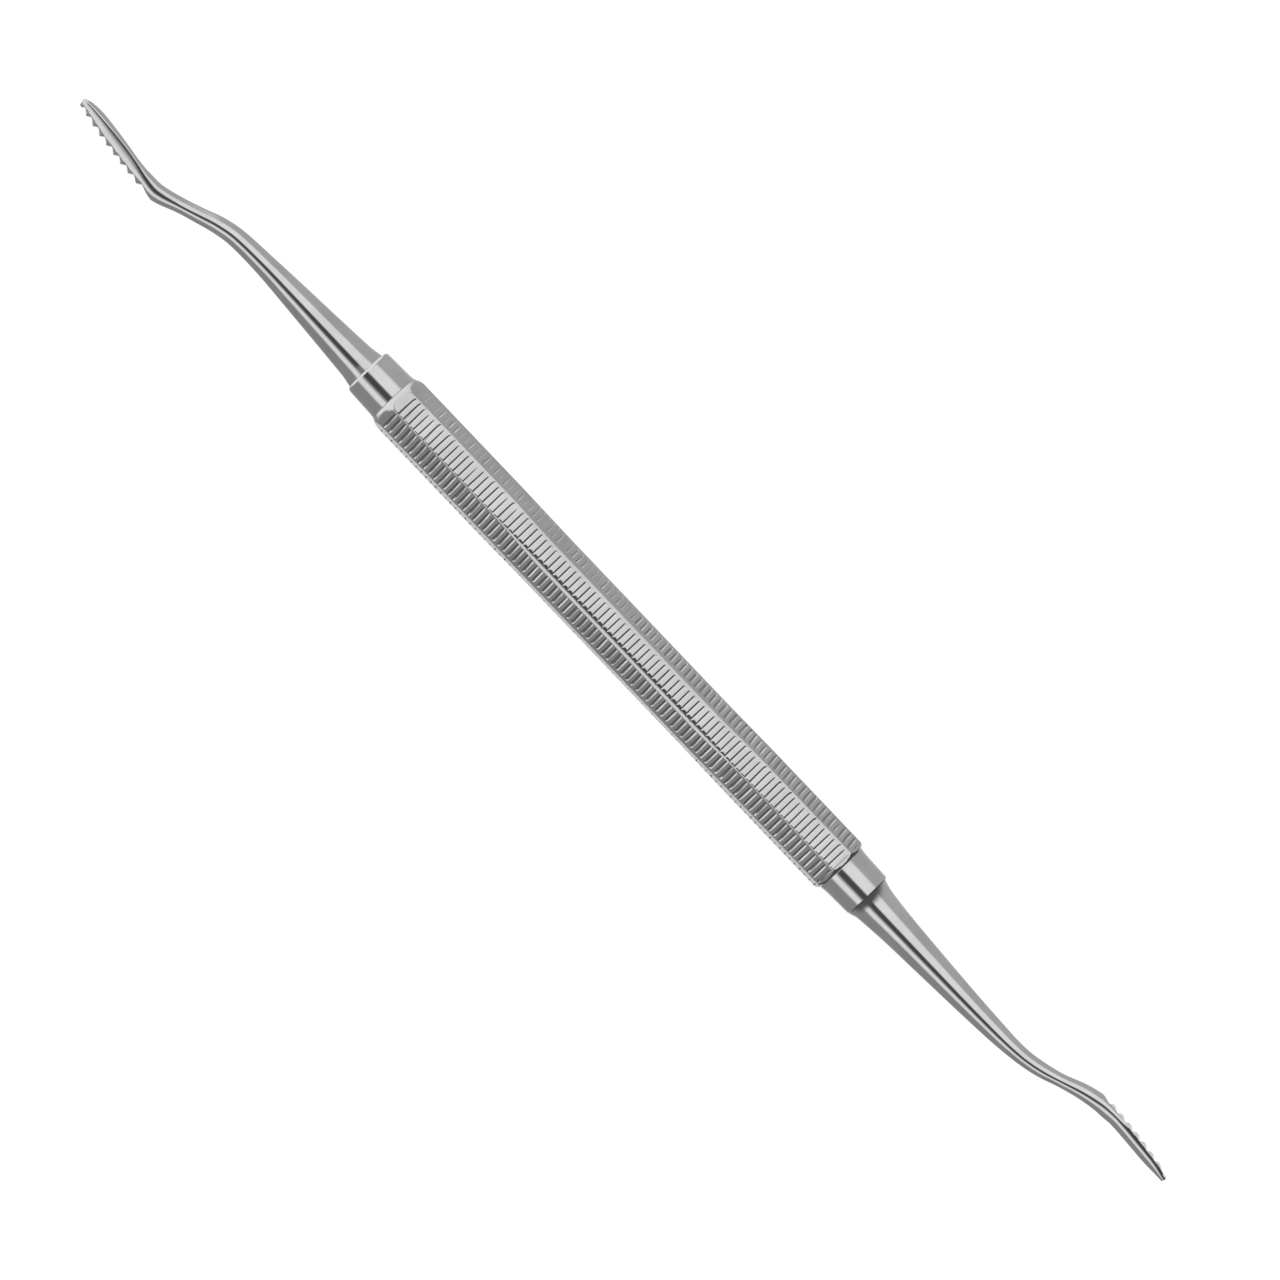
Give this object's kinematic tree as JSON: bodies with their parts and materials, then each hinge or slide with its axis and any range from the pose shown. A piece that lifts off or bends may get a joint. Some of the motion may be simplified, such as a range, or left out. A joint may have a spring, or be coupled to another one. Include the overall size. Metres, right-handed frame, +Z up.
{
  "type": "clay modeling tool",
  "caption": "Double-ended steel clay file: slim octagonal grooved grip, a turned neck at each end, tapered shanks and narrow toothed blades that bend opposite ways.",
  "frame": {"origin": "On the grip's lowest flat, directly below the handle's axis, midway between the two tips along X", "axes": "+X along the handle towards the right working end, +Z up, away from the flat it rests on, +Y completes the right-handed frame"},
  "size_m": [0.1759, 0.0085, 0.007],
  "materials": {
    "grip_steel": "satin, with bright groove flanks",
    "neck_steel": "turned and polished",
    "blade_steel": "polished shank, satin toothed blade"
  },
  "bodies": {
    "root": {"grip_sleeve": "grip_steel", "left_neck": "neck_steel", "right_neck": "neck_steel", "left_working_end": "blade_steel", "right_working_end": "blade_steel"}
  },
  "joints": []
}
